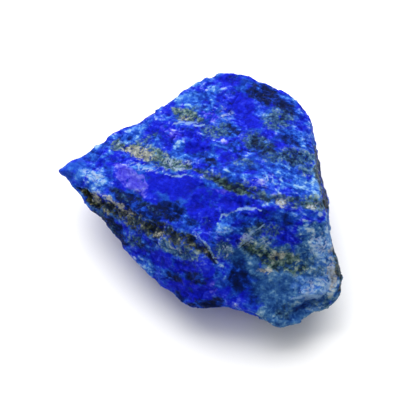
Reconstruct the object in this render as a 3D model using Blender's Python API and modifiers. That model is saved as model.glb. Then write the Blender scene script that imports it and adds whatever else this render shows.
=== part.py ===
"""Rough lapis lazuli: one broken lump of stone, lying on its flat side.

Metres, +Z up. The origin lies on the table, under the middle of the lump's box.
"""

import math
import random

import bmesh
import bpy
from mathutils import Quaternion, Vector, noise

MM = 0.001

# The lump is described as an eye in front of it sees it, looking down this steeply: millimetres
# to the right, millimetres up the view, and millimetres above the table. The middle of the view
# falls on the table this far to the right of the lump's middle, and this far behind it.
LOOKING_DOWN = math.radians(62.0)
VIEW_MIDDLE_RIGHT = -0.2
VIEW_MIDDLE_BACK = 5.3

FOOT_DEPTH = -1.3
FOOT = {
    "left": (-6.5, -1.5),
    "front left": (-3.0, -10.5),
    "front": (5.0, -13.5),
    "front right": (12.5, -12.5),
    "right": (14.0, -3.0),
    "back right": (9.5, 4.5),
    "back": (2.0, 7.5),
    "back left": (-4.5, 4.5),
}
RIM = {
    "spur tip": (-22.9, 4.6, 9.5),
    "spur back": (-15.0, 9.5, 11.0),
    "back left shoulder": (-2.9, 18.3, 13.0),
    "back": (2.5, 20.1, 14.0),
    "back summit": (7.0, 20.5, 14.5),
    "back right shoulder": (11.8, 18.4, 14.5),
    "right shoulder": (16.7, 14.6, 14.5),
    "right edge, back": (18.1, 10.4, 12.5),
    "right flank, back": (18.8, 6.9, 8.5),
    "right flank, front": (22.5, -13.4, 8.0),
    "right front corner": (22.9, -16.4, 7.6),
    "front nose, right": (15.6, -19.8, 6.8),
    "front nose, left": (13.0, -20.7, 6.5),
    "front": (-1.4, -16.9, 6.6),
    "front left": (-5.7, -14.5, 6.4),
    "left flank": (-13.4, -5.7, 7.5),
    "spur front": (-18.6, 1.1, 9.0),
}
CREST = {
    "spur ridge": (-17.2, 1.2, 11.3),
    "lower vein, middle": (-8.0, -3.6, 14.4),
    "lower vein end": (1.6, -8.6, 16.2),
    "upper vein, left": (-8.5, 5.6, 14.7),
    "upper vein, middle": (2.6, 3.6, 18.4),
    "upper vein, right": (12.2, 0.3, 19.7),
    "right edge, front": (19.3, -1.4, 17.8),
    "right edge, back": (18.2, 7.7, 15.8),
    "right corner": (21.0, -13.2, 9.8),
}
HIDDEN = {
    "back belly": (4.5, 17.0, 7.5),
    "back right belly": (13.5, 13.0, 6.0),
    "back left belly": (-5.5, 12.5, 6.5),
    "left belly": (-12.5, 3.6, 4.8),
    "right belly": (20.0, -6.5, 6.5),
    "low front": (6.5, -16.6, 2.2),
    "low front right": (16.5, -14.8, 2.6),
    "low front left": (-5.0, -11.0, 2.4),
    "low right": (17.2, -3.5, 2.0),
    "low back": (4.0, 11.0, 2.0),
    "low left": (-9.0, 0.5, 1.6),
}

# Where a blow took a shallow flake off: its middle, the way it faced (right, up the view,
# towards the eye), the radius of the hollow and its depth, in millimetres. A long one also
# says how many times longer than wide it is, and how far its length leans up to the right.
SCARS = {
    "slate face": {
        "middle": (9.2, -8.4, 15.2),
        "facing": (0.14, -0.3, 0.94),
        "radius": 30.0,
        "depth": 2.2,
    },
    "front right chip": {
        "middle": (17.8, -16.6, 8.1),
        "facing": (0.1, -0.4, 0.9),
        "radius": 2.0,
        "depth": 1.5,
        "stretch": 2.0,
        "lean": 17.0,
    },
    "front hollow": {
        "middle": (5.3, -18.7, 6.4),
        "facing": (-0.15, -1.0, 0.0),
        "radius": 15.0,
        "depth": 1.6,
    },
    "back left hollow": {
        "middle": (-8.0, 14.6, 11.4),
        "facing": (-0.52, 0.85, 0.2),
        "radius": 18.0,
        "depth": 0.9,
    },
    "right notch": {
        "middle": (19.0, 9.6, 11.0),
        "facing": (1.0, 0.5, 0.15),
        "radius": 4.0,
        "depth": 0.7,
    },
    "back flake": {
        "middle": (8.0, 17.8, 8.0),
        "facing": (0.25, 1.0, -0.3),
        "radius": 17.0,
        "depth": 1.5,
    },
    "under the spur": {
        "middle": (-13.0, -1.0, 4.6),
        "facing": (-0.6, -0.5, -0.8),
        "radius": 15.0,
        "depth": 1.2,
    },
    "right flank": {
        "middle": (21.2, -3.5, 9.0),
        "facing": (1.0, 0.0, -0.15),
        "radius": 24.0,
        "depth": 1.0,
    },
}

# The softer layers that cross the stone: each a path in the view (right, up), how far it reaches
# to either side and how far it has worn back, in millimetres
VEINS = {
    "olive pocket": {
        "path": ((-4.4, 13.9), (-2.3, 13.3), (0.1, 12.6)),
        "reach": 1.0,
        "wear": 0.45,
    },
    "upper vein": {
        "path": (
            (-12.4, 8.1), (-10.9, 7.5), (-5.0, 5.7), (-0.7, 5.2),
            (2.3, 3.8), (6.7, 2.3), (12.2, -0.2), (19.0, -0.6),
        ),
        "reach": 0.8,
        "wear": 0.40,
    },
    "lower vein": {
        "path": (
            (-20.1, 3.2), (-17.0, 0.1), (-13.4, -1.1), (-8.7, -3.7),
            (-4.4, -5.1), (-1.4, -6.3), (1.7, -8.4),
        ),
        "reach": 1.0,
        "wear": 0.65,
    },
    "pits": {
        "path": ((7.6, -7.6), (11.3, -9.5), (15.8, -10.9)),
        "reach": 1.1,
        "wear": 0.70,
    },
}

CHIPPED_CORNERS = 40
CHIP_BITE = 0.45 * MM
CHIP_SPREAD = (0.4, 1.6)
UNDERSIDE = -0.6
GRID = 0.5 * MM
TRIANGLES = 9400

# The relief of the broken faces: how large each kind of form is and how far it rises, in millimetres
SWELL = {"size": 11.0, "rise": 0.45}
FLAKES = ({"size": 6.5, "rise": 0.38}, {"size": 2.9, "rise": 0.21})
GRAIN = {"size": 1.4, "rise": 0.13}
LEDGES = {"spacing": 3.1, "rise": 0.32, "slope": math.radians(-18.5)}
LEDGE_WANDER = {"size": 7.0, "shift": 1.2}
LEDGE_PATCHES = {"size": 9.0, "cover": 0.25, "seed": Vector((3.0, 8.0, 1.0))}
VEIN_WANDER = {"size": 1.9, "shift": 0.35}
VEIN_PATCHES = {"size": 2.3, "least": 0.7, "spread": 0.6, "seed": Vector((5.0, 2.0, 7.0))}
VEIN_WALL = 1.8
TILT_SEED = 9.7

STONE_BLUE = (0.016, 0.032, 0.36, 1.0)


def seen_at(across, up, height):
    """The point, in metres, that is seen there and lies that high above the table."""
    back = (up - height * math.cos(LOOKING_DOWN)) / math.sin(LOOKING_DOWN)
    return Vector((across + VIEW_MIDDLE_RIGHT, back + VIEW_MIDDLE_BACK, height)) * MM


def in_view(point):
    """Where the eye sees a point, in millimetres to the right and up the view."""
    spot = point / MM
    up = (spot.y - VIEW_MIDDLE_BACK) * math.sin(LOOKING_DOWN) + spot.z * math.cos(LOOKING_DOWN)
    return Vector((spot.x - VIEW_MIDDLE_RIGHT, up))


def facing(across, up, towards):
    """The direction, in the lump's own axes, of one told in the view."""
    back = up * math.sin(LOOKING_DOWN) - towards * math.cos(LOOKING_DOWN)
    rise = up * math.cos(LOOKING_DOWN) + towards * math.sin(LOOKING_DOWN)
    return Vector((across, back, rise)).normalized()


def clear_scene():
    for obj in list(bpy.data.objects):
        bpy.data.objects.remove(obj, do_unlink=True)


def new_collection(name):
    collection = bpy.data.collections.new(name)
    bpy.context.scene.collection.children.link(collection)
    return collection


def add_object(name, bm, collection):
    mesh = bpy.data.meshes.new(name)
    bm.to_mesh(mesh)
    bm.free()
    obj = bpy.data.objects.new(name, mesh)
    collection.objects.link(obj)
    return obj


def settle(obj):
    """Give the object the mesh that its modifiers make, and drop them."""
    shaped = obj.evaluated_get(bpy.context.evaluated_depsgraph_get())
    mesh = bpy.data.meshes.new_from_object(shaped)
    obj.modifiers.clear()
    obj.data = mesh


def wrap_corners(bm):
    """The tightest block around the corners, with flat faces like those between cracks."""
    corners = [*RIM.values(), *CREST.values(), *HIDDEN.values()]
    corners += [(across, up, FOOT_DEPTH) for across, up in FOOT.values()]
    for corner in corners:
        bm.verts.new(seen_at(*corner))
    wrapped = bmesh.ops.convex_hull(bm, input=bm.verts)
    left_over = wrapped["geom_interior"] + wrapped["geom_unused"]
    spare = {item for item in left_over if isinstance(item, bmesh.types.BMVert)}
    bmesh.ops.delete(bm, geom=list(spare), context="VERTS")


def chip_corners(bm):
    """Small flat cuts that take the points and edges off, as they break off in handling."""
    chance = random.Random(11)
    for _ in range(CHIPPED_CORNERS):
        way = Vector([chance.gauss(0, 1) for _ in range(3)]).normalized()
        bite = CHIP_BITE * chance.uniform(*CHIP_SPREAD)
        if way.z < UNDERSIDE:
            continue
        reach = max(v.co.dot(way) for v in bm.verts)
        cut = bmesh.ops.bisect_plane(
            bm,
            geom=bm.verts[:] + bm.edges[:] + bm.faces[:],
            dist=1e-7,
            plane_co=way * (reach - bite),
            plane_no=way,
            clear_outer=True,
        )
        open_edges = [e for e in cut["geom_cut"] if isinstance(e, bmesh.types.BMEdge)]
        bmesh.ops.holes_fill(bm, edges=open_edges)


def make_block(collection):
    bm = bmesh.new()
    wrap_corners(bm)
    chip_corners(bm)
    bmesh.ops.recalc_face_normals(bm, faces=bm.faces)
    return add_object("lapis_stone", bm, collection)


def strike_scars(stone, cutters):
    for name, scar in SCARS.items():
        way = facing(*scar["facing"])
        bm = bmesh.new()
        bmesh.ops.create_icosphere(bm, subdivisions=5, radius=scar["radius"] * MM)
        ball = add_object(name, bm, cutters)
        ball.location = seen_at(*scar["middle"]) + way * (scar["radius"] - scar["depth"]) * MM
        ball.rotation_mode = "QUATERNION"
        ball.rotation_quaternion = Quaternion(way, math.radians(scar.get("lean", 0.0)))
        ball.scale = (scar.get("stretch", 1.0), 1.0, 1.0)
        ball.hide_render = True
        ball.display_type = "WIRE"
        flake = stone.modifiers.new(name, "BOOLEAN")
        flake.object = ball
        flake.operation = "DIFFERENCE"
    settle(stone)


def flake_height(spot, size):
    """Flat flakes, each tilted its own way, with a small step where two meet."""
    place = spot / size
    _, middles = noise.voronoi(place)
    tilt = noise.cell_vector(middles[0] * TILT_SEED) - Vector((0.5, 0.5, 0.5))
    return (place - middles[0]).dot(tilt.normalized())


def ledge_height(spot, view_spot):
    """Low ledges where the layers end, each rising slowly and dropping at once."""
    wander = LEDGE_WANDER["shift"] * noise.noise(spot / LEDGE_WANDER["size"])
    slope = LEDGES["slope"]
    along = view_spot.y * math.cos(slope) - view_spot.x * math.sin(slope)
    turn = (along + wander) / LEDGES["spacing"]
    patch = noise.noise(spot / LEDGE_PATCHES["size"] + LEDGE_PATCHES["seed"])
    fade = max(0.0, patch + LEDGE_PATCHES["cover"])
    return fade * (turn - math.floor(turn) - 0.5)


def nearest_on(start, end, spot):
    run = end - start
    share = max(0.0, min(1.0, (spot - start).dot(run) / run.length_squared))
    return start + run * share


def vein_depth(spot, view_spot):
    """How far the softer layers have worn back here, uneven along their length."""
    wander = VEIN_WANDER["shift"] * noise.noise(spot / VEIN_WANDER["size"])
    patch = noise.noise(spot / VEIN_PATCHES["size"] + VEIN_PATCHES["seed"])
    patchy = VEIN_PATCHES["least"] + VEIN_PATCHES["spread"] * patch
    deepest = 0.0
    for vein in VEINS.values():
        ends = [Vector(point) for point in vein["path"]]
        feet = [nearest_on(start, end, view_spot) for start, end in zip(ends, ends[1:])]
        away = min((view_spot - foot).length for foot in feet)
        inside = 1.0 - (away + wander) / vein["reach"]
        if inside > 0.0:
            deepest = max(deepest, vein["wear"] * patchy * min(1.0, VEIN_WALL * inside))
    return deepest


def roughen(stone):
    """Break the flat faces up: swells, flakes, ledges, grain and worn layers."""
    fine = stone.modifiers.new("grid", "REMESH")
    fine.mode = "VOXEL"
    fine.voxel_size = GRID
    settle(stone)
    bm = bmesh.new()
    bm.from_mesh(stone.data)
    bm.normal_update()
    moves = []
    for vert in bm.verts:
        spot = vert.co / MM
        view_spot = in_view(vert.co)
        height = SWELL["rise"] * noise.noise(spot / SWELL["size"])
        height += sum(flake["rise"] * flake_height(spot, flake["size"]) for flake in FLAKES)
        height += LEDGES["rise"] * ledge_height(spot, view_spot)
        height += GRAIN["rise"] * noise.noise(spot / GRAIN["size"])
        height -= vein_depth(spot, view_spot)
        moves.append(vert.normal * height * MM)
    for vert, move in zip(bm.verts, moves):
        vert.co += move
    bm.to_mesh(stone.data)
    bm.free()


def thin_out(stone):
    """Keep the triangles that the relief needs."""
    faces = sum(len(face.vertices) - 2 for face in stone.data.polygons)
    fewer = stone.modifiers.new("fewer triangles", "DECIMATE")
    fewer.ratio = TRIANGLES / faces
    settle(stone)


def flatten_foot(stone):
    """Cut the underside flat at the table, and stand the middle of the lump's box on the origin."""
    bm = bmesh.new()
    bm.from_mesh(stone.data)
    cut = bmesh.ops.bisect_plane(
        bm,
        geom=bm.verts[:] + bm.edges[:] + bm.faces[:],
        dist=1e-6,
        plane_co=(0, 0, 0),
        plane_no=(0, 0, -1),
        clear_outer=True,
    )
    rim = [e for e in cut["geom_cut"] if isinstance(e, bmesh.types.BMEdge)]
    bmesh.ops.holes_fill(bm, edges=rim)
    bmesh.ops.triangulate(bm, faces=bm.faces)
    for axis in (0, 1):
        ends = [v.co[axis] for v in bm.verts]
        middle = (min(ends) + max(ends)) / 2
        for vert in bm.verts:
            vert.co[axis] -= middle
    bm.to_mesh(stone.data)
    bm.free()


def add_material(stone):
    material = bpy.data.materials.new("lapis lazuli")
    material.use_nodes = True
    shader = material.node_tree.nodes["Principled BSDF"]
    shader.inputs["Base Color"].default_value = STONE_BLUE
    shader.inputs["Roughness"].default_value = 0.55
    shader.inputs["Metallic"].default_value = 0.0
    stone.data.materials.append(material)


def main():
    clear_scene()
    parts = new_collection("rough lapis lazuli")
    cutters = new_collection("cutters")
    stone = make_block(parts)
    strike_scars(stone, cutters)
    roughen(stone)
    thin_out(stone)
    flatten_foot(stone)
    add_material(stone)


main()
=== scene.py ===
# Rough lapis lazuli: one broken stone lying on its flat side, on a pale floor
import math

import bpy
import numpy as np
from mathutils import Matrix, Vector, noise


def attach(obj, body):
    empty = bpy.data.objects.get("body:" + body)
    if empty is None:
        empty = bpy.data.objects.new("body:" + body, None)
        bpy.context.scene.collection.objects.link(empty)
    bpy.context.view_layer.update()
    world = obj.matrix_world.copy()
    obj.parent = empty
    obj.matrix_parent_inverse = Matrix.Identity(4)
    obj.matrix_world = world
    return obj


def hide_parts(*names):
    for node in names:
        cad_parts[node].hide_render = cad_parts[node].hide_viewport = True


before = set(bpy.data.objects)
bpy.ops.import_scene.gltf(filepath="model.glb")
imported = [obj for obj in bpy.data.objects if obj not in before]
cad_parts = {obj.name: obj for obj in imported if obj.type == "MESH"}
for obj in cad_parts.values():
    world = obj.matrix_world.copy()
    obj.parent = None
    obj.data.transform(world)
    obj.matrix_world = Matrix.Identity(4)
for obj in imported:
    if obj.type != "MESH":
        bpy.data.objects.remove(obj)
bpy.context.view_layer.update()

mm = 0.001
bpy.ops.object.select_all(action="DESELECT")
print("frame loaded")

# Places on the stone are told as the camera sees them: millimetres to the right and up the view.
# The middle of the view falls on the floor this far from the middle of the stone's box.
view = {
    "lookingDown": math.radians(62.0),
    "middleRight": -0.2,
    "middleBack": 5.3,
}
sinDown = math.sin(view["lookingDown"])
cosDown = math.cos(view["lookingDown"])
towardsEye = Vector((0.0, -cosDown, sinDown))


def seenPlaces(spots):  # spots in millimetres, one a row
    up = (spots[:, 1] - view["middleBack"]) * sinDown + spots[:, 2] * cosDown
    return np.stack([spots[:, 0] - view["middleRight"], up], axis=1)


cameraLook = {
    "distance": 0.5,
    "lens": 284.0,
    "sensor": 36.0,
    "nearest": 0.01,  # what is nearer than this isn't drawn
    "aimHeight": 10.0 * mm,  # half the stone's height
}


def addCamera():
    height = cameraLook["aimHeight"]
    back = view["middleBack"] * mm - height * cosDown / sinDown
    aim = Vector((view["middleRight"] * mm, back, height))
    bpy.ops.object.camera_add(
        location=aim + towardsEye * cameraLook["distance"],
        rotation=(math.radians(90.0) - view["lookingDown"], 0.0, 0.0),
    )
    camera = bpy.context.object
    camera.name = "camera"
    camera.data.sensor_width = cameraLook["sensor"]
    camera.data.lens = cameraLook["lens"]
    camera.data.clip_start = cameraLook["nearest"]
    bpy.context.scene.camera = camera


addCamera()
bpy.context.scene.view_settings.view_transform = "Standard"
print("camera placed")

# Soft studio light: a broad panel high at the back, so that the front faces fall into shade, and a
# weak one overhead. The room is pale all round.
studio = {
    "key": {"place": (-0.05, 0.33, 0.42), "size": 0.75, "power": 6.0},
    "top": {"place": (-0.10, -0.02, 0.60), "size": 0.45, "power": 0.6},
}
roomLight = 0.47


def addLights():
    for name, panel in studio.items():
        place = Vector(panel["place"])
        turn = (-place).to_track_quat("-Z", "Y").to_euler()
        bpy.ops.object.light_add(type="AREA", location=place, rotation=turn)
        lamp = bpy.context.object
        lamp.name = name
        lamp.data.size = panel["size"]
        lamp.data.energy = panel["power"]
    world = bpy.data.worlds.new("studio")
    world.use_nodes = True
    world.node_tree.nodes["Background"].inputs["Color"].default_value = (1.0, 1.0, 1.0, 1.0)
    world.node_tree.nodes["Background"].inputs["Strength"].default_value = roomLight
    bpy.context.scene.world = world


addLights()
print("lights placed")

# The stone as a fine mesh. Sizes in millimetres.
stoneMesh = {
    "mergeWithin": 0.002,
    "voxel": 0.23,
    "smoothTurns": 6,
    "smoothShare": 0.5,
}


def applyModifier(piece, kind, **settings):
    added = piece.modifiers.new(kind.lower(), kind)
    for name, value in settings.items():
        setattr(added, name, value)
    bpy.ops.object.modifier_apply(modifier=added.name)


def makeStone():
    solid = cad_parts["lapis_stone"]
    piece = bpy.data.objects.new("rough_lapis", solid.data.copy())
    bpy.context.collection.objects.link(piece)
    piece.data.materials.clear()
    bpy.ops.object.select_all(action="DESELECT")
    piece.select_set(True)
    bpy.context.view_layer.objects.active = piece
    bpy.ops.object.mode_set(mode="EDIT")
    bpy.ops.mesh.select_all(action="SELECT")
    bpy.ops.mesh.remove_doubles(threshold=stoneMesh["mergeWithin"] * mm)
    bpy.ops.object.mode_set(mode="OBJECT")
    applyModifier(piece, "REMESH", mode="VOXEL", voxel_size=stoneMesh["voxel"] * mm)
    applyModifier(
        piece, "SMOOTH",
        factor=stoneMesh["smoothShare"], iterations=stoneMesh["smoothTurns"],
    )
    return piece


stone = makeStone()
print("stone meshed:", len(stone.data.polygons), "faces")

# What crosses the stone: places along each line in the view, and half its width there
olivePocket = ((-4.4, 14.1, 0.4), (-2.4, 13.4, 0.9), (-0.2, 12.8, 0.5))
upperVein = (
    (-13.4, 8.7, 0.4), (-11.0, 8.1, 0.8), (-8.4, 7.3, 1.0), (-5.4, 6.2, 0.85), (-2.8, 5.5, 0.55),
    (-1.4, 5.0, 0.3),
)
thinVein = (  # the same vein where it runs on in dark specks
    (-0.6, 4.7, 0.3), (1.4, 4.0, 0.6), (3.4, 3.0, 0.75), (6.7, 1.6, 0.9), (10.2, 0.4, 0.8),
    (13.6, -0.2, 0.7), (17.0, -0.5, 0.8), (20.5, -1.0, 0.4),
)
lowerVein = (
    (-19.4, 1.9, 0.2), (-18.2, 0.9, 0.5), (-15.5, -0.8, 0.8), (-12.6, -2.1, 0.9),
    (-9.0, -4.0, 1.0), (-5.6, -5.0, 1.0), (-2.6, -6.0, 0.9), (0.4, -7.7, 0.6), (2.2, -9.2, 0.3),
)
pitted = ((6.6, -6.6, 0.5), (8.6, -7.6, 0.75), (11.4, -9.2, 1.4), (14.2, -9.8, 1.5), (15.8, -10.8, 0.8))
flankShadeLines = (  # painted shade: the dark strip along the right edge, where the flank turns away into shadow
    ((18.2, 8.4, 0.3), (18.9, 5.0, 0.6), (19.5, 1.5, 0.6), (20.1, -1.5, 0.3)),
    ((20.6, -5.2, 0.2), (21.2, -8.5, 0.3), (22.0, -12.5, 0.3), (22.2, -16.0, 0.25)),
)
rimHighlightLines = (  # painted highlight: thin bright rims along edges that catch the light
    ((-0.6, -5.2, 0.10), (1.0, -7.2, 0.16), (2.6, -9.6, 0.12)),
    ((2.6, -3.6, 0.10), (3.6, -2.2, 0.16), (6.0, -1.5, 0.16), (9.6, -1.7, 0.10)),
    ((-4.2, 12.3, 0.10), (-1.8, 12.0, 0.18), (0.8, 11.9, 0.12)),
    ((-5.6, 4.4, 0.12), (-3.2, 3.9, 0.18), (-0.8, 3.5, 0.12)),
    ((6.0, -7.4, 0.10), (7.2, -6.0, 0.18), (9.0, -4.4, 0.12), (10.0, -3.6, 0.10)),
    ((14.4, -15.8, 0.14), (16.4, -15.1, 0.32), (18.9, -14.8, 0.36), (19.8, -13.4, 0.30), (20.6, -10.8, 0.14)),
)

# Patches of colour: middle in the view, half length, half width, lean up to the right in degrees,
# and strength
patches = {
    "azureAndRimLight": (
        (-16.9, 3.7, 2.4, 1.0, -18, 1.0), (2.2, 17.7, 1.3, 0.7, -10, 0.7),
        (-2.2, 16.2, 2.4, 1.2, -20, 0.8), (3.8, -3.9, 1.3, 1.5, 0, 1.0),
        # the azure patches along the right edge and the lower right rim are painted highlight where the rim
        # catches the light; the rest are sky blue stone
        (18.0, -13.2, 2.8, 1.4, 22, 1.0), (15.6, -13.0, 1.6, 1.0, 0, 0.8),
        (18.3, -7.2, 1.0, 2.0, 0, 0.8), (18.4, 2.6, 1.0, 4.0, 0, 0.9),
        (15.8, 2.4, 1.8, 1.1, 0, 0.9), (-9.2, 5.2, 3.0, 0.5, -12, 0.9),
        (-6.2, 9.6, 2.4, 0.7, -25, 0.4), (20.0, -7.0, 0.8, 5.5, -4, 0.9),
        (-0.4, -4.6, 0.9, 0.7, 40, 0.6), (-19.4, 3.8, 1.2, 0.8, 0, 0.6),
        (3.2, -11.2, 0.8, 1.8, 8, 0.5), (13.4, 11.0, 2.2, 0.7, -10, 0.4),
        (4.2, -8.0, 1.2, 1.2, 0, 0.8), (10.2, -6.2, 1.6, 0.9, 0, 0.7),
        (17.4, -16.4, 2.2, 0.9, 15, 1.0), (-4.2, -7.4, 1.0, 0.6, -20, 1.0),
        (-4.4, 5.6, 1.6, 0.8, -16, 1.0), (19.0, -9.4, 1.6, 2.4, 0, 0.9),
        (20.6, -12.0, 1.2, 2.8, -6, 1.0), (16.4, -4.4, 1.6, 1.2, 0, 0.6),
        (-11.0, 9.6, 1.8, 0.7, 26, 0.6), (16.8, 5.0, 1.2, 0.8, 0, 0.6),
        (11.0, 3.2, 2.4, 1.0, -10, 0.6),
    ),
    "violet": (
        (-10.7, 3.1, 3.2, 1.3, -40, 1.0), (9.6, 2.8, 1.2, 0.7, -10, 0.6),
        (2.4, 10.2, 3.0, 0.7, -40, 0.4), (-4.4, 10.4, 2.5, 0.9, -35, 0.5),
        (-12.4, 5.4, 1.6, 0.7, -20, 0.6), (2.0, -13.4, 0.8, 1.2, 0, 0.5),
        (7.0, -6.2, 1.2, 1.0, 40, 0.6), (12.6, -15.0, 1.4, 0.9, 0, 0.4),
        (3.4, 1.4, 2.4, 0.6, -10, 0.4), (1.6, 13.2, 1.6, 0.9, -30, 0.5),
    ),
    "deep": (
        (-3.4, 2.2, 5.4, 1.9, -14, 1.0), (6.8, 15.2, 1.6, 2.2, 0, 1.0),
        (-14.6, 6.4, 2.2, 0.9, 14, 0.7), (1.2, -11.4, 1.2, 2.2, 10, 0.8),
        (-6.3, -9.2, 2.4, 1.2, -30, 0.8), (3.5, 0.2, 4.4, 1.6, -8, 0.9),
        (-1.5, -14.0, 3.4, 1.8, -10, 0.9), (4.0, 7.0, 2.4, 1.6, -20, 0.6),
        (-6.5, 11.2, 2.8, 1.0, 22, 0.6), (0.0, -1.4, 2.4, 2.0, -10, 0.8),
        (-2.0, -10.6, 2.4, 1.4, -20, 0.8), (-0.6, 8.2, 2.2, 1.3, -10, 0.9),
        (5.6, 19.2, 2.8, 1.1, -8, 0.9), (8.6, 12.2, 2.0, 1.1, -10, 0.8),
        (10.2, -1.8, 2.4, 0.8, -4, 0.8), (13.6, 8.6, 2.2, 0.8, -10, 0.5),
    ),
    "navy": (
        (-4.9, -1.6, 2.2, 1.4, -10, 1.0), (6.0, -11.8, 1.9, 2.9, 8, 0.62),
        (10.0, 16.9, 2.2, 1.6, -20, 1.0), (13.4, 15.0, 2.4, 1.0, -40, 0.8),
        (-11.6, -0.1, 2.6, 1.1, -34, 0.9), (-8.2, -1.6, 2.6, 1.4, -30, 1.0),
        (-9.4, -6.6, 1.6, 0.8, -45, 0.5), (0.6, 7.0, 0.9, 0.8, 0, 0.4),
        (0.8, -16.4, 3.0, 0.9, 0, 0.9), (-3.4, -15.4, 1.6, 0.9, -30, 0.6),
        (13.6, -3.0, 2.4, 1.6, 0, 0.35), (5.0, 2.2, 3.4, 0.9, -20, 0.9),
        (13.2, -18.4, 2.4, 1.0, 0, 0.4), (8.6, -3.6, 1.8, 1.0, 0, 0.6),
        (1.6, 6.0, 1.4, 0.6, -20, 0.6), (-15.6, -2.4, 3.6, 1.0, -52, 1.0),
        (14.6, 9.6, 3.0, 1.4, -10, 0.45), (9.8, 8.4, 2.8, 1.4, -14, 0.6),
        (-17.6, 0.2, 1.6, 0.7, -48, 0.9), (-0.6, -12.2, 1.8, 0.8, -10, 0.6),
        (15.0, 6.6, 2.8, 1.4, -8, 0.6), (-4.0, -12.0, 1.6, 0.8, -30, 0.6),
        (-13.0, -5.6, 2.2, 1.2, -50, 0.8), (8.4, -14.2, 1.6, 2.4, 0, 0.40),
        (10.6, -1.9, 2.2, 0.8, -4, 0.4), (13.6, -18.0, 0.6, 2.4, 0, 0.45), (15.9, -16.7, 1.4, 0.5, 25, 0.7),
        (5.0, 10.8, 1.6, 1.2, 0, 0.50), (5.8, 8.2, 2.2, 1.4, -20, 0.40),
        (17.2, 8.4, 1.0, 1.2, 0, 0.35), (12.3, 13.0, 1.8, 1.2, 0, 0.45),
        (-1.6, -3.2, 1.6, 0.8, -30, 0.5), (11.0, -17.2, 1.8, 1.0, 0, 0.3),
        (5.6, 19.4, 3.0, 0.8, -8, 0.35),
    ),
    "greyGreen": (
        (12.3, 13.0, 2.0, 1.5, 0, 1.0), (2.6, 11.0, 2.0, 1.0, 0, 0.9),
        (9.0, 9.0, 2.2, 1.2, -18, 1.0), (15.2, 6.7, 3.0, 1.4, -4, 1.0),
        (12.0, 6.6, 2.2, 0.9, -10, 0.7), (-10.4, -6.2, 1.6, 0.9, -40, 0.7),
        (-3.4, -7.9, 3.2, 0.9, -18, 1.0), (3.8, -7.9, 1.3, 1.3, 0, 1.0),
        (-8.6, 9.6, 2.4, 0.6, 22, 0.6), (8.6, -4.8, 1.8, 1.0, 30, 0.9),
        (6.8, 6.0, 2.0, 0.8, -15, 0.5), (13.2, -17.5, 1.6, 1.0, 30, 0.7),
        (-8.4, -0.6, 2.6, 0.5, -40, 0.5), (-12.6, 0.8, 2.0, 0.4, -40, 0.5),
        (-1.6, 14.4, 1.8, 0.5, 0, 0.5), (11.6, -4.6, 1.6, 0.8, 0, 0.6),
        (16.8, -9.6, 1.6, 0.9, 10, 0.6), (10.0, -6.2, 1.6, 0.8, 0, 0.5),
        (17.2, -0.4, 2.6, 0.9, -4, 0.9), (-16.2, -1.8, 2.0, 0.4, -50, 0.6),
        (20.0, -16.2, 1.6, 1.2, 30, 0.5), (8.0, -7.4, 1.4, 1.2, -20, 1.0),
        (18.4, -11.0, 1.4, 1.0, 0, 0.5), (-13.6, -4.4, 1.6, 0.4, -50, 0.5),
        (17.6, -16.1, 1.8, 0.8, 15, 0.5), (16.8, 4.6, 1.4, 0.9, 0, 0.6),
    ),
    "calcite": (
        (4.2, 14.0, 1.8, 1.6, -30, 0.58), (-9.0, 5.2, 3.2, 0.7, -12, 1.0),
        (12.4, -0.4, 1.2, 0.7, 0, 0.8), (9.0, 2.6, 2.4, 1.0, 0, 0.6),
        (18.4, -7.0, 1.4, 2.2, 0, 0.9), (7.2, -6.4, 1.0, 1.2, 40, 0.9),
        (3.6, -4.6, 1.4, 1.4, 0, 0.6), (10.0, -6.6, 1.4, 0.8, 0, 0.7),
        (-16.8, 3.7, 2.0, 0.9, -18, 1.0), (17.8, -1.0, 1.0, 0.6, 0, 0.9),
        # the patch at (17.6, -13.4) is painted highlight on the lower right rim
        (4.2, -8.0, 1.2, 1.2, 0, 1.0), (17.6, -13.4, 2.6, 0.9, 20, 1.0),
        (3.6, 17.0, 2.2, 0.8, -20, 0.4), (-2.0, 6.0, 0.9, 0.7, 0, 0.7),
        # the patch at (20.6, -12.0) is painted highlight on the lower right rim
        (-0.6, -4.8, 1.0, 0.7, 40, 0.6), (20.6, -12.0, 0.8, 2.2, -6, 1.0),
        (-3.8, -7.4, 1.6, 0.5, -20, 0.9), (11.4, 3.4, 2.0, 0.9, 0, 0.7),
        (-4.2, 5.8, 1.8, 0.8, -16, 1.0),
    ),
    "sand": (
        (-9.8, 7.5, 2.6, 0.9, -16, 1.0), (-2.4, 13.0, 0.9, 0.5, 0, 0.7),
        (12.4, -0.5, 1.1, 0.6, 0, 0.7), (-16.6, 0.6, 0.9, 0.5, -40, 0.8),
        (10.4, -11.2, 1.8, 0.5, 0, 0.6), (12.0, -8.8, 1.4, 0.8, 0, 0.6),
        (17.6, -0.9, 1.0, 0.5, 0, 0.6), (-13.0, -0.7, 3.6, 0.45, -31, 0.8),
        # the patch at (20.7, -12.0) is painted highlight on the lower right rim
        (-6.4, -5.4, 1.0, 0.5, -20, 0.5), (20.7, -12.0, 0.8, 2.6, -6, 0.95),
        (20.3, -8.2, 0.5, 2.2, -4, 0.5),
    ),
    "clean": (  # the faces that broke smooth
        (-5.0, 1.8, 8.5, 2.6, -14, 1.0), (10.0, -12.5, 7.0, 5.0, 0, 0.7), (15.0, -18.6, 3.0, 1.8, 10, 0.8),
        (-21.0, 4.6, 3.0, 2.0, 20, 1.0),
    ),
}

# The dull slate blue corner, as the outline of its area in the view
slateArea = {
    "corners": (
        (3.8, -9.0), (7.9, -6.2), (14.3, -6.8), (17.6, -3.4), (23.0, -1.0),
        (24.0, -20.0), (12.8, -23.0), (8.6, -21.0), (9.0, -15.0), (6.8, -10.6),
    ),
    "blur": 1.6,
}


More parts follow.
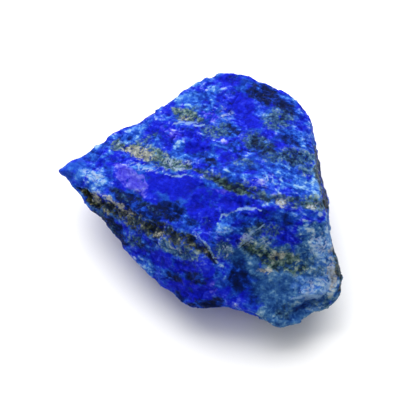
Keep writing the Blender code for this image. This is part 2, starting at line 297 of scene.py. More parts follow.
def noiseAt(spots, size, seed):
    shift = Vector((seed, 2.7 * seed, -1.3 * seed))
    return np.array([noise.noise(Vector(spot) / size + shift) for spot in spots])


# How far ragged borders stray, over what length, and the seeds of the noise to the right and up
strays = ((0.55, 2.4, 11.0, 21.0), (0.30, 0.9, 12.0, 22.0))


def wobbled(spots, places):  # the places, moved a little by noise
    right = sum(far * noiseAt(spots, size, seed) for far, size, seed, _ in strays)
    up = sum(far * noiseAt(spots, size, seed) for far, size, _, seed in strays)
    return places + np.stack([right, up], axis=1)


def halfWidthsAway(places, line):  # how far each place is from a line, in the line's half widths
    line = np.array(line)
    nearest = np.full(len(places), np.inf)
    for start, end in zip(line, line[1:]):
        run = end[:2] - start[:2]
        share = np.clip(((places - start[:2]) @ run) / (run @ run), 0.0, 1.0)
        away = np.linalg.norm(places - start[:2] - share[:, None] * run, axis=1)
        nearest = np.minimum(nearest, away / (start[2] + share * (end[2] - start[2])))
    return nearest


def along(places, line):  # 1 in the middle of a line, 0.5 at its border
    return np.clip(1.0 - 0.5 * halfWidthsAway(places, line), 0.0, 1.0)


def awayFrom(places, right, up, length, width, lean):  # 1 on the border of a leaning ellipse
    turn = math.radians(lean)
    offset = places - np.array((right, up))
    ahead = (offset[:, 0] * math.cos(turn) + offset[:, 1] * math.sin(turn)) / length
    aside = (offset[:, 1] * math.cos(turn) - offset[:, 0] * math.sin(turn)) / width
    return np.hypot(ahead, aside)


def blotches(places, group):  # a group's patches: whole in the middle, half as strong on the border
    strongest = np.zeros(len(places))
    for *ellipse, strength in patches[group]:
        inside = np.clip(1.5 - awayFrom(places, *ellipse), 0.0, 1.0)
        strongest = np.maximum(strongest, strength * inside)
    return strongest


def insideArea(places, area):  # 0 outside, 1 well inside, soft across the border
    corners = area["corners"]
    within = np.zeros(len(places), bool)
    for (x0, y0), (x1, y1) in zip(corners, corners[1:] + corners[:1]):
        straddles = (places[:, 1] < y0) != (places[:, 1] < y1)
        rise = y1 - y0 if y1 != y0 else 1.0
        within ^= straddles & (places[:, 0] < x0 + (places[:, 1] - y0) * (x1 - x0) / rise)
    border = [(*corner, 1.0) for corner in corners + corners[:1]]
    away = halfWidthsAway(places, border)
    signed = np.where(within, away, -away)
    return np.clip(0.5 + signed / (2.0 * area["blur"]), 0.0, 1.0)


def readSpots(piece):
    spots = np.empty(len(piece.data.vertices) * 3)
    piece.data.vertices.foreach_get("co", spots)
    normals = np.empty(len(piece.data.vertices) * 3)
    piece.data.vertices.foreach_get("normal", normals)
    return spots.reshape(-1, 3) / mm, normals.reshape(-1, 3)


def writeSpots(piece, spots):
    piece.data.vertices.foreach_set("co", (spots * mm).ravel())
    piece.data.update()


# Small pushes that bring the outline onto the real one: place in the view, push to the right and
# up, and reach, all in millimetres
pushes = (
    (4.5, 20.0, 0.0, 0.8, 4.5), (16.0, 13.5, 0.45, 0.35, 4.0), (-8.5, 11.0, 0.3, -0.5, 4.0),
    (17.0, -16.5, 0.2, -0.5, 2.6), (-13.5, -4.5, 0.35, 0.3, 4.0), (-22.2, 4.6, -0.7, 0.0, 2.0),
    (-21.4, 5.7, 0.0, -0.6, 1.0), (-20.8, 3.4, 0.0, 0.7, 1.1),
)


def pushOutline(piece):
    spots, _ = readSpots(piece)
    places = seenPlaces(spots)
    for right, up, pushRight, pushUp, reach in pushes:
        away = np.hypot(places[:, 0] - right, places[:, 1] - up) / reach
        share = np.exp(-away ** 2)
        spots[:, 0] += pushRight * share
        spots[:, 1] += pushUp * share / sinDown
    writeSpots(piece, spots)


pushOutline(stone)

# Relief that the hand feels: flakes, grain, and the worn and pitted layers. Millimetres.
relief = {
    "flakes": ((4.2, 0.20), (2.2, 0.20), (1.1, 0.13), (0.65, 0.05)),  # size and rise
    "grain": (0.55, 0.035, 31.0),  # size, rise and the seed of its noise
    "cleanShare": 0.7,     # how much of the relief a clean face lacks
    "rougherBehind": 0.7,  # how much stronger the relief is on the sides turned away in the view
    "outlineShare": 0.55,  # how much of the relief the outline in the view lacks
    "veinWear": 0.25,
    "upperWear": 0.6,      # how much of that wear the upper vein has
    "pitSize": 1.15,
    "pitReach": 0.55,      # how far a pit reaches, in sizes
    "pitDepth": 0.45,
    "footQuiet": (0.15, 1.2),  # the relief starts above the flat spot and is whole by here
}

# How far a face has turned, as the cosine of its angle to the line of sight
faceTurns = {
    "facing": 0.3,    # faces the eye in full
    "outline": 0.25,  # the width of the band along the outline
    "away": 0.4,      # is turned away in full
    "paintFrom": -0.05,  # where the painted patches end, just past the outline
}
cellSpread = 9.7  # sends neighbouring flakes to cells of noise that lie apart

# Dents and ridges: middle in the view, half length, half width, lean in degrees, and rise
steps = (
    (17.4, -16.3, 2.8, 1.1, 15.0, -0.26), (17.2, -14.6, 3.4, 0.7, 10.0, 0.35),
    (6.4, -1.7, 3.6, 0.5, -4.0, 0.22), (3.2, -5.2, 0.6, 2.4, 0.0, 0.20),
    (7.4, -5.4, 2.4, 0.4, 45.0, 0.18), (-10.5, 4.6, 3.4, 0.5, -40.0, 0.15),
)

# The broken corner's shell-like ripples: middle in the view, the first ring's radius, and spacing
shell = {
    "middle": (9.0, -9.5),
    "rim": 8.2,
    "spacing": 1.5,
    "rise": 0.10,
    "rings": 4,
    "lowest": -9.0,  # they fade in from here up the view
    "fade": 2.0,
}


def flakeHeights(spots, size):  # flat flakes, each tilted its own way
    heights = np.empty(len(spots))
    half = Vector((0.5, 0.5, 0.5))
    for n, spot in enumerate(spots):
        place = Vector(spot) / size
        centre = noise.voronoi(place)[1][0]
        tilt = noise.cell_vector(centre * cellSpread) - half
        heights[n] = (place - centre).dot(tilt.normalized())
    return heights


def pitHeights(spots, size):
    near = np.array([noise.voronoi(Vector(spot) / size)[0][0] for spot in spots])
    return np.clip(1.0 - near / relief["pitReach"], 0.0, 1.0)


def rippleHeights(places):
    away = np.hypot(places[:, 0] - shell["middle"][0], places[:, 1] - shell["middle"][1])
    rings = (shell["rim"] - away) / shell["spacing"]
    inside = np.clip(rings, 0.0, 1.0) * np.clip(shell["rings"] - rings, 0.0, 1.0)
    above = np.clip((places[:, 1] - shell["lowest"]) / shell["fade"], 0.0, 1.0)
    return inside * above * np.abs(np.sin(math.pi * rings))


def stepHeights(places):
    heights = np.zeros(len(places))
    for right, up, length, width, lean, rise in steps:
        heights += rise * np.exp(-(awayFrom(places, right, up, length, width, lean) ** 2))
    return heights


def filled(values):  # 1 over most of a line's width, 0 a little outside its border
    return np.clip(2.0 * values - 0.5, 0.0, 1.0)


def carve(piece):
    spots, normals = readSpots(piece)
    seen = seenPlaces(spots)
    places = wobbled(spots, seen)
    turned = normals @ np.array(towardsEye)
    facing = np.clip(turned / faceTurns["facing"], 0.0, 1.0)
    strength = 1.0 - relief["cleanShare"] * blotches(places, "clean") * facing
    strength += relief["rougherBehind"] * np.clip(-turned / faceTurns["away"], 0.0, 1.0)
    strength -= relief["outlineShare"] * np.exp(-((turned / faceTurns["outline"]) ** 2))
    height = sum(rise * flakeHeights(spots, size) for size, rise in relief["flakes"])
    size, rise, seed = relief["grain"]
    height += rise * noiseAt(spots, size, seed)
    height *= strength
    height += shell["rise"] * rippleHeights(places)
    height += facing * stepHeights(0.5 * (places + seen))
    upper = np.maximum(along(places, upperVein), along(places, thinVein))
    worn = np.maximum(along(places, lowerVein), relief["upperWear"] * upper)
    holed = np.maximum(along(places, lowerVein), along(places, pitted))
    height -= relief["veinWear"] * filled(worn)
    height -= relief["pitDepth"] * pitHeights(spots, relief["pitSize"]) * filled(holed)
    low, high = relief["footQuiet"]
    height *= np.clip((spots[:, 2] - low) / (high - low), 0.0, 1.0)
    spots += normals * height[:, None]
    flat = spots[:, 2] < low
    spots[flat, 2] = 0.0
    writeSpots(piece, spots)


carve(stone)
print("relief carved")

# How sharp each place is, from the surface less a smoothed copy of it. It paints sharp crests lighter, a
# painted highlight, and hollows darker, painted shade
sharpness = (  # rounds of smoothing, the rise in millimetres that counts as full, and the share
    (6, 0.06, 0.5),
    (60, 0.40, 0.6),
)


def risesAboveMean(piece, spots, normals, rounds, full):
    ends = np.empty(len(piece.data.edges) * 2, np.int64)
    piece.data.edges.foreach_get("vertices", ends)
    first, second = ends.reshape(-1, 2).T
    count = np.bincount(ends, minlength=len(spots)).astype(float)[:, None]
    smoothed = spots.copy()
    for _ in range(rounds):
        sums = np.zeros_like(spots)
        for axis in range(3):
            sums[:, axis] += np.bincount(first, smoothed[second, axis], len(spots))
            sums[:, axis] += np.bincount(second, smoothed[first, axis], len(spots))
        smoothed = sums / count
    rise = np.einsum("ij,ij->i", spots - smoothed, normals)
    return np.clip(rise / full, -1.0, 1.0)


def storeMasks(piece):
    spots, normals = readSpots(piece)
    seen = seenPlaces(spots)
    places = wobbled(spots, seen)
    turned = normals @ np.array(towardsEye)
    facing = np.clip((turned - faceTurns["paintFrom"]) / faceTurns["facing"], 0.0, 1.0)
    edges = [
        share * risesAboveMean(piece, spots, normals, rounds, full) for rounds, full, share in sharpness
    ]
    masks = {name: facing * blotches(places, name) for name in patches}
    masks["oliveVein"] = np.maximum(along(places, upperVein), facing * along(places, olivePocket))
    masks["thinVein"] = along(places, thinVein)
    masks["darkVein"] = along(places, lowerVein)
    masks["pitted"] = facing * along(places, pitted)
    # painted highlight along the rims that catch the light
    masks["rimHighlight"] = np.max([along(places, line) for line in rimHighlightLines], axis=0) * facing
    # painted shade along the right flank
    masks["flankShade"] = np.max([along(places, line) for line in flankShadeLines], axis=0)
    masks["slate"] = insideArea(places, slateArea)
    # painted highlight on sharp crests and painted shade in hollows
    masks["edge"] = np.clip(sum(edges), -1.0, 1.0)
    for name, values in masks.items():
        attribute = piece.data.attributes.new(name, "FLOAT", "POINT")
        attribute.data.foreach_set("value", values.astype(np.float32))


storeMasks(stone)
print("masks stored")

# The colours of each mineral from its darkest to its lightest grains, as tone, red, green, blue
shades = {
    "lazurite": (
        (0.10, 0, 8, 58), (0.27, 2, 14, 118), (0.42, 4, 20, 184), (0.55, 14, 32, 222),
        (0.68, 38, 60, 234), (0.82, 84, 104, 245), (0.97, 170, 186, 250),
    ),
    "violet": (
        (0.10, 6, 2, 44), (0.27, 18, 10, 116), (0.42, 38, 28, 182), (0.55, 64, 58, 218),
        (0.68, 92, 92, 238), (0.82, 128, 134, 245), (0.97, 188, 194, 250),
    ),
    "skyBlue": (
        (0.10, 0, 18, 66), (0.27, 3, 32, 112), (0.42, 10, 54, 166), (0.55, 24, 78, 204),
        (0.68, 48, 108, 226), (0.82, 86, 148, 238), (0.97, 156, 200, 244),
    ),
    "slate": (
        (0.10, 2, 28, 84), (0.27, 8, 46, 118), (0.42, 22, 68, 142), (0.55, 46, 96, 166),
        (0.68, 78, 130, 186), (0.82, 124, 168, 208), (0.97, 194, 216, 230),
    ),
    "sage": (
        (0.10, 4, 16, 34), (0.30, 16, 42, 78), (0.50, 44, 82, 124), (0.70, 90, 132, 156),
        (0.90, 166, 184, 180),
    ),
    "olive": (
        (0.15, 10, 22, 20), (0.35, 42, 66, 56), (0.50, 88, 120, 106), (0.65, 138, 166, 152),
        (0.85, 200, 210, 198),
    ),
    "umber": (
        (0.15, 4, 6, 10), (0.35, 20, 27, 16), (0.50, 50, 58, 36), (0.65, 92, 100, 68),
        (0.85, 168, 168, 144),
    ),
    "sand": (
        (0.15, 84, 88, 84), (0.35, 130, 136, 132), (0.50, 164, 168, 160), (0.65, 194, 194, 184),
        (0.85, 226, 226, 218),
    ),
}
chalk = (184, 204, 240)
# the pale blue of the painted highlight on rims
rimHighlightBlue = (150, 188, 236)
gold = (196, 166, 96)
litShare = 0.665  # colours are told as they look in this strong light, so the paint is darker by this


def asLinear(parts):
    parts = [part / 255.0 for part in parts]
    linear = [p / 12.92 if p <= 0.04045 else ((p + 0.055) / 1.055) ** 2.4 for p in parts]
    return (*[litShare * p for p in linear], 1.0)


def feed(tree, socket, value):
    if isinstance(value, bpy.types.NodeSocket):
        tree.links.new(value, socket)
    else:
        socket.default_value = value


def addNode(tree, kind, inputs=None, **settings):
    added = tree.nodes.new(kind)
    for name, value in settings.items():
        setattr(added, name, value)
    for name, value in (inputs or {}).items():
        feed(tree, added.inputs[name], value)
    return added


def calculate(tree, operation, *values, clamp=False):
    added = addNode(tree, "ShaderNodeMath", operation=operation, use_clamp=clamp)
    for socket, value in zip(added.inputs, values):
        feed(tree, socket, value)
    return added.outputs[0]


def vectorOf(tree, operation, *values):
    added = addNode(tree, "ShaderNodeVectorMath", operation=operation)
    for socket, value in zip(added.inputs, values):
        feed(tree, socket, value)
    return added


def soften(tree, value, low, high):  # 0 at low, 1 at high, smooth between
    inputs = {"Value": value, "From Min": low, "From Max": high}
    return addNode(tree, "ShaderNodeMapRange", inputs, interpolation_type="SMOOTHSTEP").outputs["Result"]


def blendColour(tree, mask, under, over):
    added = addNode(tree, "ShaderNodeMix", data_type="RGBA")
    for index, value in ((0, mask), (6, under), (7, over)):
        feed(tree, added.inputs[index], value)
    return added.outputs[2]


def shaded(tree, mineral, tone):
    added = addNode(tree, "ShaderNodeValToRGB", {"Fac": tone})
    marks = added.color_ramp.elements
    stops = shades[mineral]
    for mark, (at, *parts) in zip((marks[0], marks[1]), (stops[0], stops[-1])):
        mark.position = at
        mark.color = asLinear(parts)
    for at, *parts in stops[1:-1]:
        marks.new(at).color = asLinear(parts)
    return added.outputs["Color"]


def newGroup(name, inputs, outputs):
    group = bpy.data.node_groups.new(name, "ShaderNodeTree")
    for socket, kind, value in inputs:
        made = group.interface.new_socket(name=socket, in_out="INPUT", socket_type=kind)
        if value is not None:
            made.default_value = value
    for socket, kind in outputs:
        group.interface.new_socket(name=socket, in_out="OUTPUT", socket_type=kind)
    return group, group.nodes.new("NodeGroupInput"), group.nodes.new("NodeGroupOutput")


def useGroup(tree, group, **inputs):
    added = tree.nodes.new("ShaderNodeGroup")
    added.node_tree = group
    for name, value in inputs.items():
        feed(tree, added.inputs[name], value)
    return added.outputs


floatSocket = "NodeSocketFloat"
vectorSocket = "NodeSocketVector"


def makeMottle():  # cloudy noise about 0, so that several can be added up
    group, given, result = newGroup(
        "mottle",
        [("Position", vectorSocket, None), ("Scale", floatSocket, 1.0), ("Detail", floatSocket, 4.0),
         ("Roughness", floatSocket, 0.55), ("Warp", floatSocket, 0.3), ("Amount", floatSocket, 1.0)],
        [("Value", floatSocket)],
    )
    cloud = addNode(group, "ShaderNodeTexNoise", {
        name: given.outputs[name] for name in ("Scale", "Detail", "Roughness")
    })
    feed(group, cloud.inputs["Vector"], given.outputs["Position"])
    feed(group, cloud.inputs["Distortion"], given.outputs["Warp"])
    centred = calculate(group, "SUBTRACT", cloud.outputs[0], 0.5)
    feed(group, result.inputs["Value"], calculate(group, "MULTIPLY", centred, given.outputs["Amount"]))
    return group


def makeCrystals():  # grains with flat faces: a tone for each, and how its face leans
    group, given, result = newGroup(
        "crystals",
        [("Position", vectorSocket, None), ("Scale", floatSocket, 1.0)],
        [("Tone", floatSocket), ("Height", floatSocket)],
    )
    cells = addNode(group, "ShaderNodeTexVoronoi", {
        "Vector": given.outputs["Position"], "Scale": given.outputs["Scale"],
    })
    parts = addNode(group, "ShaderNodeSeparateColor", {"Color": cells.outputs["Color"]})
    offset = vectorOf(group, "SUBTRACT", given.outputs["Position"], cells.outputs["Position"])
    lean = vectorOf(group, "SUBTRACT", cells.outputs["Color"], (0.5, 0.5, 0.5))
    height = vectorOf(group, "DOT_PRODUCT", offset.outputs[0], lean.outputs[0]).outputs["Value"]
    feed(group, result.inputs["Tone"], parts.outputs[0])
    feed(group, result.inputs["Height"], height)
    return group


fleckLook = {
    "smallest": 0.6,  # the sizes run from this share of the given one
    "spread": 0.5,    # and over this much more
    "border": 0.35,
}


def makeFlecks():  # scattered specks, a share of all the cells
    group, given, result = newGroup(
        "flecks",
        [("Position", vectorSocket, None), ("Scale", floatSocket, 1.0), ("Share", floatSocket, 0.2),
         ("Size", floatSocket, 0.3)],
        [("Mask", floatSocket)],
    )
    cells = addNode(group, "ShaderNodeTexVoronoi", {
        "Vector": given.outputs["Position"], "Scale": given.outputs["Scale"],
    })
    parts = addNode(group, "ShaderNodeSeparateColor", {"Color": cells.outputs["Color"]})
    chosen = calculate(group, "LESS_THAN", parts.outputs[2], given.outputs["Share"])
    size = calculate(group, "MULTIPLY_ADD", parts.outputs[0], fleckLook["spread"], fleckLook["smallest"])
    reach = calculate(group, "MULTIPLY", size, given.outputs["Size"])
    away = calculate(group, "DIVIDE", cells.outputs["Distance"], reach)
    spot = soften(group, calculate(group, "SUBTRACT", 1.0, away), 0.0, fleckLook["border"])
    feed(group, result.inputs["Mask"], calculate(group, "MULTIPLY", spot, chosen))
    return group


def makeLayers():  # draws the pattern out along the layers of the stone
    group, given, result = newGroup(
        "layers",
        [("Position", vectorSocket, None), ("Across", vectorSocket, (0.0, 0.0, 1.0)),
         ("Draw", floatSocket, 0.3)],
        [("Position", vectorSocket)],
    )
    across = vectorOf(group, "DOT_PRODUCT", given.outputs["Position"], given.outputs["Across"])
    rest = calculate(group, "SUBTRACT", 1.0, given.outputs["Draw"])
    reach = calculate(group, "MULTIPLY", across.outputs["Value"], rest)
    drawn = addNode(group, "ShaderNodeVectorMath", {0: given.outputs["Position"]}, operation="SCALE")
    feed(group, drawn.inputs["Scale"], given.outputs["Draw"])
    kept = addNode(group, "ShaderNodeVectorMath", {0: given.outputs["Across"]}, operation="SCALE")
    feed(group, kept.inputs["Scale"], reach)
    joined = vectorOf(group, "ADD", drawn.outputs[0], kept.outputs[0])
    feed(group, result.inputs["Position"], joined.outputs[0])
    return group


mottle = makeMottle()
crystals = makeCrystals()
flecks = makeFlecks()
layers = makeLayers()

# The lapis material. A tone runs from 0 for a mineral's darkest grains to 1 for its lightest, and a
# cover is how much of the paint below is hidden.
lapisLook = {
    "specular": 0.05,
    "layerSlope": math.radians(-24.0),  # how the layers run in the view
    "drawnOut": 0.42,       # how fast the pattern changes along the layers, against 1 across them
    "grainScale": 1.35,
    "grainTone": 0.15,      # how much the tones of neighbouring grains differ
    "crumbScale": 3.2,
    "crumbTone": 0.06,
    "middleTone": 0.54,
    "darksKept": 0.55,      # the dark half of the texture is weaker than the light half
    "calmShare": 0.65,      # how much of its texture a clean or deep blue face lacks
    "strokesOffSlate": 0.7,  # how much of the drawn-out strokes the slate lacks
    "slateOffAzure": 0.5,   # how much of the slate an azure patch hides
    "navyRagged": 0.6,
    # edge is painted highlight on sharp crests and painted shade in hollows
    "toneShifts": {"azureAndRimLight": 0.22, "violet": 0.14, "deep": -0.07, "navy": -0.35, "edge": 0.11},
    "middleHue": 0.04,
    "hueShifts": {"azureAndRimLight": 0.5, "violet": -0.6, "deep": -0.35, "navy": 0.5},
    "hueBorder": (-0.20, 0.26),  # pure lazurite below, sky blue above
    "violetCover": 0.9,
}

# The cloudy noises: scale, amount, detail, roughness and warp
cloudLooks = {
    "coarse": (0.60, 1.6, 4.0, 0.55, 0.4),  # these three break up the borders
    "middle": (1.0, 1.8, 4.0, 0.55, 0.4),
    "fine": (2.6, 1.6, 3.0, 0.55, 0.4),
    "broadTone": (0.22, 0.6, 3.0, 0.50, 0.8),  # these are light and dark
    "patchyTone": (0.60, 0.7, 3.0, 0.50, 0.6),
    "smallTone": (1.8, 0.7, 2.0, 0.55, 0.4),
    "slateTone": (0.90, 1.2, 4.0, 0.60, 1.2),
    "strokes": (1.30, 1.1, 3.0, 0.55, 0.3),
    "fineStrokes": (2.6, 0.5, 2.0, 0.50, 0.3),
    "hue": (0.30, 2.2, 5.0, 0.60, 0.8),
    "sageSpots": (0.5, 2.0, 6.0, 0.65, 1.0),
    "specks": (1.4, 1.5, 3.0, 0.55, 0.4),
    "chips": (1.7, 1.5, 3.0, 0.60, 0.5),
    "threads": (0.62, 1.0, 1.5, 0.50, 1.0),
    "threaded": (0.30, 1.4, 2.0, 0.55, 0.4),
}

# Where each painted mask starts and where it is whole
borders = {
    "azureAndRimLight": (0.25, 0.80),
    "violet": (0.30, 0.60),
    "deep": (0.25, 0.75),
    "navy": (0.18, 0.70),
    "slate": (0.30, 0.70),
    "greyGreen": (0.05, 0.75),
    "sand": (0.25, 0.85),
    "rimHighlight": (0.25, 0.90),
    "flankShade": (0.10, 0.75),
}

lapis = bpy.data.materials.new("lapis")
lapis.use_nodes = True
paint = lapis.node_tree
metres = addNode(paint, "ShaderNodeTexCoord").outputs["Object"]
position = vectorOf(paint, "MULTIPLY", metres, (1 / mm, 1 / mm, 1 / mm)).outputs[0]


def stored(name):
    return addNode(paint, "ShaderNodeAttribute", attribute_name=name).outputs["Fac"]


def clouds(name, at=position):
    scale, amount, detail, rough, warp = cloudLooks[name]
    return useGroup(
        paint, mottle,
        Position=at, Scale=scale, Amount=amount, Detail=detail, Roughness=rough, Warp=warp,
    )["Value"]


def scaled(value, amount):
    return calculate(paint, "MULTIPLY", value, amount)


def total(*values):
    result = values[0]
    for value in values[1:]:
        result = calculate(paint, "ADD", result, value)
    return result


def stronger(one, other):
    return calculate(paint, "MAXIMUM", one, other)


def lessWhere(mask, share):  # 1, less the share where the mask is whole
    return calculate(paint, "MULTIPLY_ADD", mask, -share, 1.0)


def ragged(name, rags, border=None):  # a stored mask, with its border broken up by noise
    low, high = border or borders[name]
    uneven = calculate(paint, "MULTIPLY_ADD", rags, 2.0, 1.0)
    return soften(paint, scaled(stored(name), uneven), low, high)


def covered(under, mask, cover, over):
    share = calculate(paint, "MULTIPLY", mask, cover, clamp=True)
    return blendColour(paint, share, under, over)


coarse = clouds("coarse")
middle = clouds("middle")
fine = clouds("fine")
specks = clouds("specks")
grains = useGroup(paint, crystals, Position=position, Scale=lapisLook["grainScale"])
crumbs = useGroup(paint, crystals, Position=position, Scale=lapisLook["crumbScale"])
clean = stored("clean")
blues = {
    "azureAndRimLight": ragged("azureAndRimLight", middle),
    "violet": ragged("violet", middle),
    "deep": ragged("deep", coarse),
    "navy": ragged("navy", scaled(middle, lapisLook["navyRagged"])),
    "edge": stored("edge"),
}
slate = scaled(ragged("slate", coarse), lessWhere(blues["azureAndRimLight"], lapisLook["slateOffAzure"]))


def shifts(amounts):
    return [scaled(blues[name], amount) for name, amount in amounts.items()]


def blueTexture():  # light and dark of the blue stone, about 0
    slope = lapisLook["layerSlope"]
    across = Vector((-math.sin(slope), math.cos(slope) * sinDown, math.cos(slope) * cosDown))
    drawn = useGroup(paint, layers, Position=position, Across=across, Draw=lapisLook["drawnOut"])
    strokes = total(clouds("strokes", drawn["Position"]), clouds("fineStrokes", drawn["Position"]))
    texture = total(
        clouds("broadTone"), clouds("patchyTone"), clouds("smallTone"),
        scaled(strokes, lessWhere(slate, lapisLook["strokesOffSlate"])),
        scaled(clouds("slateTone"), slate),
        scaled(total(grains["Tone"], -0.5), lapisLook["grainTone"]),
        scaled(total(crumbs["Tone"], -0.5), lapisLook["crumbTone"]),
    )
    return stronger(texture, scaled(texture, lapisLook["darksKept"]))


def blueStone(texture):  # pure violet blue, sky blue and slate
    calm = lessWhere(stronger(clean, blues["deep"]), lapisLook["calmShare"])
    tone = total(scaled(texture, calm), lapisLook["middleTone"], *shifts(lapisLook["toneShifts"]))
    hue = total(clouds("hue"), lapisLook["middleHue"], *shifts(lapisLook["hueShifts"]))
    low, high = lapisLook["hueBorder"]
    colour = blendColour(
        paint, soften(paint, hue, low, high),
        shaded(paint, "lazurite", tone), shaded(paint, "skyBlue", tone),
    )
    violet = shaded(paint, "violet", tone)
    colour = covered(colour, blues["violet"], lapisLook["violetCover"], violet)
    return covered(colour, slate, 1.0, shaded(paint, "slate", tone))


# Grey green stains, in painted patches and in spots all over
sageLook = {
    "tone": 0.54,
    "fine": 0.6,
    "texture": 0.3,
    # the stains too get painted highlight on crests and painted shade in hollows
    "edge": 0.2,
    "navy": -0.24,
    "spots": (0.22, 0.60),
    "cover": 0.86,
}


def makeSageTone(texture):
    return total(
        sageLook["tone"], scaled(fine, sageLook["fine"]), scaled(texture, sageLook["texture"]),
        scaled(blues["edge"], sageLook["edge"]), scaled(blues["navy"], sageLook["navy"]),
    )


def addSage(colour, sageTone):
    low, high = sageLook["spots"]
    spots = soften(paint, clouds("sageSpots"), low, high)
    stains = stronger(ragged("greyGreen", total(middle, fine)), spots)
    return covered(colour, stains, sageLook["cover"], shaded(paint, "sage", sageTone))


# The veins: speckled, with the blue showing through, each in a grey green halo
veins = {
    "oliveVein": {
        "haloBorder": (0.10, 0.50), "haloCover": 0.55, "haloTone": 0.0,
        "rags": 1.0, "border": (0.25, 0.75), "cover": 0.78,
        "mineral": "olive", "tone": 0.54, "specks": 0.8,
    },
    "thinVein": {
        "haloBorder": (0.20, 0.60), "haloCover": 0.50, "haloTone": -0.06,
        "rags": 2.0, "border": (0.30, 0.85), "cover": 0.62,
        "mineral": "olive", "tone": 0.38, "specks": 0.8,
    },
    "darkVein": {
        "haloBorder": (0.10, 0.45), "haloCover": 0.60, "haloTone": -0.14,
        "rags": 1.0, "border": (0.30, 0.70), "cover": 0.85,
        "mineral": "umber", "tone": 0.52, "specks": 0.9,
    },
    "pitted": {
        "haloBorder": (0.10, 0.45), "haloCover": 0.50, "haloTone": 0.0,
        "rags": 2.0, "border": (0.30, 0.80), "cover": 0.80,
        "mineral": "olive", "tone": 0.55, "specks": 0.9,
    },
}
speckledCrestLight = 0.15  # painted highlight: how much lighter a sharp crest is in a vein, and painted shade: how much darker a hollow is
sandLook = {"tone": 0.54, "specks": 0.8, "fine": 0.4, "cover": 0.80}


def speckled(look):
    return total(look["tone"], scaled(specks, look["specks"]), scaled(blues["edge"], speckledCrestLight))


def addVeins(colour, sageTone):
    for name, look in veins.items():
        halo = ragged(name, middle, look["haloBorder"])
        sage = shaded(paint, "sage", total(sageTone, look["haloTone"]))
        colour = covered(colour, halo, look["haloCover"], sage)
        vein = ragged(name, total(scaled(middle, look["rags"]), fine), look["border"])
        colour = covered(colour, vein, look["cover"], shaded(paint, look["mineral"], speckled(look)))
    sandTone = total(speckled(sandLook), scaled(fine, sandLook["fine"]))
    sand = ragged("sand", total(middle, fine))
    return covered(colour, sand, sandLook["cover"], shaded(paint, "sand", sandTone))


# Calcite: chalky chips and crooked threads. Then thin bright rims, a painted highlight along edges that catch
# the light
calciteLook = {
    "moreChips": 0.26,        # on the painted patches
    "fewerChips": -0.12,      # on the clean faces
    "chipBorder": (0.28, 0.50),
    "threadBorder": (0.055, 0.015),  # from outside a thread to its middle
    "threadedBorder": (0.35, 0.80),
    "cover": 0.62,
    "rimRagged": 0.6,
    "rimCover": 0.75,
}


def makeChips():
    chalky = total(
        clouds("chips"),
        scaled(stored("calcite"), calciteLook["moreChips"]), scaled(clean, calciteLook["fewerChips"]),
    )
    low, high = calciteLook["chipBorder"]
    return soften(paint, chalky, low, high)


def makeThreads():
    outside, inside = calciteLook["threadBorder"]
    crooked = soften(paint, calculate(paint, "ABSOLUTE", clouds("threads")), outside, inside)
    low, high = calciteLook["threadedBorder"]
    return scaled(crooked, soften(paint, total(stored("calcite"), clouds("threaded")), low, high))


def addCalcite(colour, chips):
    colour = covered(colour, chips, calciteLook["cover"], asLinear(chalk))
    colour = covered(colour, makeThreads(), calciteLook["cover"], asLinear(chalk))
    # painted highlight: pale blue along the rims that catch the light
    rims = ragged("rimHighlight", scaled(total(middle, fine), calciteLook["rimRagged"]))
    return covered(colour, rims, calciteLook["rimCover"], asLinear(rimHighlightBlue))


# painted shade: dark umber specks along the right flank
flankShadeLook = {"tone": 0.38, "specks": 0.9, "cover": 0.85}


def addFlankShade(colour):
    shadeStrip = ragged("flankShade", total(coarse, middle, fine))
    return covered(colour, shadeStrip, flankShadeLook["cover"], shaded(paint, "umber", speckled(flankShadeLook)))


# Pyrite: rare metallic specks by the veins
pyriteLook = {"share": 0.03, "scale": 2.6, "size": 0.34}


def makePyrite():
    nearVein = stronger(stored("oliveVein"), stored("darkVein"))
    return useGroup(
        paint, flecks, Position=position, Scale=pyriteLook["scale"],
        Share=scaled(nearVein, pyriteLook["share"]), Size=pyriteLook["size"],
    )["Mask"]


# Roughness: some crystal faces glint, veins stay dull
glossLook = {
    "rough": 0.62,
    "glint": -0.25,
    "glints": (0.6, 1.0),  # which crumbs glint, by their tone
    "vein": 0.25,
    "pyrite": -0.3,
}


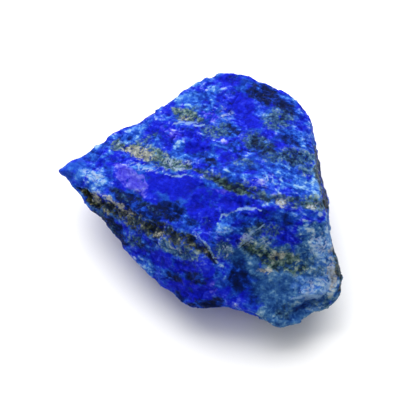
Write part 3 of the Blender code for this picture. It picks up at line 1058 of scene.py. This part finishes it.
def makeRoughness(pyrite):
    low, high = glossLook["glints"]
    glints = soften(paint, crumbs["Tone"], low, high)
    dull = stronger(*[
        ragged(name, total(scaled(middle, veins[name]["rags"]), fine), veins[name]["border"])
        for name in ("oliveVein", "darkVein")
    ])
    return total(
        glossLook["rough"], scaled(glints, glossLook["glint"]),
        scaled(dull, glossLook["vein"]), scaled(pyrite, glossLook["pyrite"]),
    )


# Relief too fine for the mesh, in millimetres
fineRelief = {"grains": 0.26, "crumbs": 0.34, "fine": 0.05, "chips": 0.04}


def makeBump(chips):
    height = total(
        scaled(grains["Height"], fineRelief["grains"]), scaled(crumbs["Height"], fineRelief["crumbs"]),
        scaled(fine, fineRelief["fine"]), scaled(chips, fineRelief["chips"]),
    )
    return addNode(paint, "ShaderNodeBump", {"Strength": 1.0, "Distance": mm, "Height": height})


def paintLapis():
    texture = blueTexture()
    sageTone = makeSageTone(texture)
    chips = makeChips()
    pyrite = makePyrite()
    colour = addSage(blueStone(texture), sageTone)
    colour = addVeins(colour, sageTone)
    colour = addCalcite(colour, chips)
    colour = addFlankShade(colour)
    shader = paint.nodes["Principled BSDF"]
    shader.inputs["Specular IOR Level"].default_value = lapisLook["specular"]
    feed(paint, shader.inputs["Base Color"], covered(colour, pyrite, 1.0, asLinear(gold)))
    feed(paint, shader.inputs["Metallic"], pyrite)
    feed(paint, shader.inputs["Roughness"], makeRoughness(pyrite))
    feed(paint, shader.inputs["Normal"], makeBump(chips).outputs["Normal"])


paintLapis()
stone.data.materials.append(lapis)
stone.data.shade_smooth()
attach(stone, "root")
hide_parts("lapis_stone")
print("stone finished")

floorLook = {
    "size": 3.0,
    "colour": (0.92, 0.92, 0.92, 1.0),
    "roughness": 0.9,
    "specular": 0.1,
}


def addFloor():
    bpy.ops.mesh.primitive_plane_add(size=floorLook["size"])
    floor = bpy.context.object
    floor.name = "floor"
    material = bpy.data.materials.new("pale_floor")
    material.use_nodes = True
    shader = material.node_tree.nodes["Principled BSDF"]
    shader.inputs["Base Color"].default_value = floorLook["colour"]
    shader.inputs["Roughness"].default_value = floorLook["roughness"]
    shader.inputs["Specular IOR Level"].default_value = floorLook["specular"]
    floor.data.materials.append(material)


addFloor()
print("floor laid")
